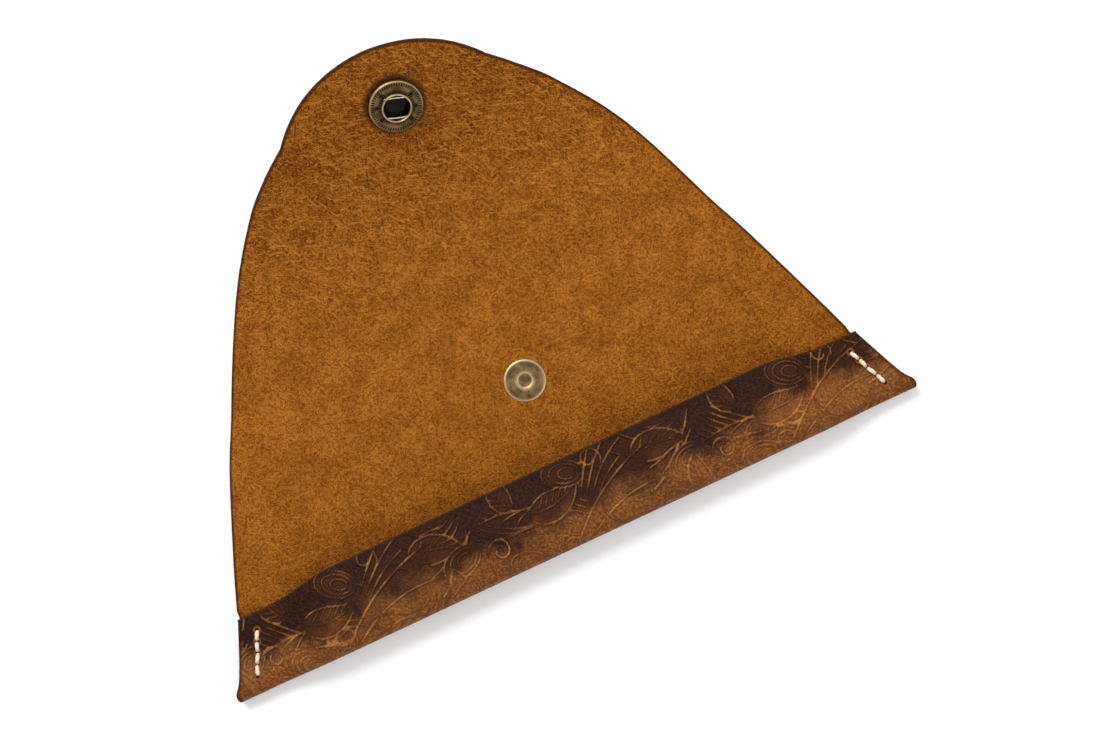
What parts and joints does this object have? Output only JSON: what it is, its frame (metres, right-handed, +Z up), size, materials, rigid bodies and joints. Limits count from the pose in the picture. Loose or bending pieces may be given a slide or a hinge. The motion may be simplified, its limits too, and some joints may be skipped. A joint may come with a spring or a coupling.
{
  "type": "pen case",
  "caption": "Leather roll-up pen case with a stitched fold-over pocket along its straight edge and a tapering flap that wraps round and closes with a spring snap.",
  "frame": {"origin": "centre of the bounding box in plan, on the surface that the open case lies on", "axes": "+X along the pocket fold, +Y from the pocket fold to the flap tip, +Z up from the suede side"},
  "size_m": [0.1878, 0.134, 0.0215],
  "materials": {
    "suede": "golden brown suede, fibrous nap, matte",
    "tooled_leather": "embossed grain leather, dark brown rubbed to tan on the raised parts, soft satin",
    "antique_brass": "dark antique brass with bright rubbed edges, satin",
    "spring_wire": "bright polished wire",
    "stitching_thread": "cream waxed thread, matte"
  },
  "bodies": {
    "base": {"base_panel": "suede"},
    "outer_roll_1": {"outer_roll_1": "suede"},
    "outer_roll_2": {"outer_roll_2": "suede"},
    "outer_roll_3": {"outer_roll_3": "suede"},
    "stud_panel": {"stud_panel": "suede", "snap_stud": "antique_brass", "snap_stud_post": "antique_brass"},
    "inner_roll_1": {"inner_roll_1": "suede"},
    "inner_roll_2": {"inner_roll_2": "suede"},
    "pocket": {"pocket": "tooled_leather", "stitches_left": "stitching_thread", "stitches_right": "stitching_thread"},
    "flap_fold_1": {"flap_fold_1": "suede"},
    "flap_fold_2": {"flap_fold_2": "suede"},
    "flap_fold_3": {"flap_fold_3": "suede"},
    "flap": {"flap": "suede", "snap_cap": "antique_brass", "snap_socket": "antique_brass", "snap_spring_front": "spring_wire", "snap_spring_rear": "spring_wire"}
  },
  "joints": [
    {"name": "outer_roll_1_hinge", "type": "hinge", "parent": "base", "child": "outer_roll_1", "pos_m": [0, 0.00126, 0.0016], "axis": [-1, 0, 0], "range_deg": [0, 35]},
    {"name": "outer_roll_2_hinge", "type": "hinge", "parent": "outer_roll_1", "child": "outer_roll_2", "pos_m": [0, -0.00319, 0.00238], "axis": [-1, 0, 0], "range_deg": [0, 36]},
    {"name": "outer_roll_3_hinge", "type": "hinge", "parent": "outer_roll_2", "child": "outer_roll_3", "pos_m": [0, -0.00746, 0.00385], "axis": [-1, 0, 0], "range_deg": [0, 52]},
    {"name": "stud_panel_hinge", "type": "hinge", "parent": "outer_roll_3", "child": "stud_panel", "pos_m": [0, -0.01188, 0.00479], "axis": [-1, 0, 0], "range_deg": [0, 57]},
    {"name": "inner_roll_1_hinge", "type": "hinge", "parent": "stud_panel", "child": "inner_roll_1", "pos_m": [0, -0.03278, 0.00479], "axis": [-1, 0, 0], "range_deg": [0, 68]},
    {"name": "inner_roll_2_hinge", "type": "hinge", "parent": "inner_roll_1", "child": "inner_roll_2", "pos_m": [0, -0.03786, 0.00408], "axis": [-1, 0, 0], "range_deg": [0, 64]},
    {"name": "pocket_hinge", "type": "hinge", "parent": "inner_roll_2", "child": "pocket", "pos_m": [0, -0.04289, 0.00301], "axis": [-1, 0, 0], "range_deg": [0, 51.4]},
    {"name": "flap_fold_1_hinge", "type": "hinge", "parent": "base", "child": "flap_fold_1", "pos_m": [0, 0.02366, 0.0016], "axis": [1, 0, 0], "range_deg": [0, 37]},
    {"name": "flap_fold_2_hinge", "type": "hinge", "parent": "flap_fold_1", "child": "flap_fold_2", "pos_m": [0, 0.03051, 0.00256], "axis": [1, 0, 0], "range_deg": [0, 37]},
    {"name": "flap_fold_3_hinge", "type": "hinge", "parent": "flap_fold_2", "child": "flap_fold_3", "pos_m": [0, 0.03716, 0.00447], "axis": [1, 0, 0], "range_deg": [0, 37]},
    {"name": "flap_hinge", "type": "hinge", "parent": "flap_fold_3", "child": "flap", "pos_m": [0, 0.04347, 0.00728], "axis": [1, 0, 0], "range_deg": [0, 37]}
  ],
  "couplings": [
    {"joint": "outer_roll_3_hinge", "follows": "inner_roll_1_hinge", "ratio": 0.7647},
    {"joint": "stud_panel_hinge", "follows": "inner_roll_1_hinge", "ratio": 0.83823},
    {"joint": "inner_roll_2_hinge", "follows": "inner_roll_1_hinge", "ratio": 0.94118},
    {"joint": "pocket_hinge", "follows": "inner_roll_1_hinge", "ratio": 0.75588},
    {"joint": "outer_roll_2_hinge", "follows": "outer_roll_1_hinge", "ratio": 1.0286},
    {"joint": "flap_fold_1_hinge", "follows": "outer_roll_1_hinge", "ratio": 1.0571},
    {"joint": "flap_fold_2_hinge", "follows": "outer_roll_1_hinge", "ratio": 1.0571},
    {"joint": "flap_fold_3_hinge", "follows": "outer_roll_1_hinge", "ratio": 1.0571},
    {"joint": "flap_hinge", "follows": "outer_roll_1_hinge", "ratio": 1.0571}
  ]
}
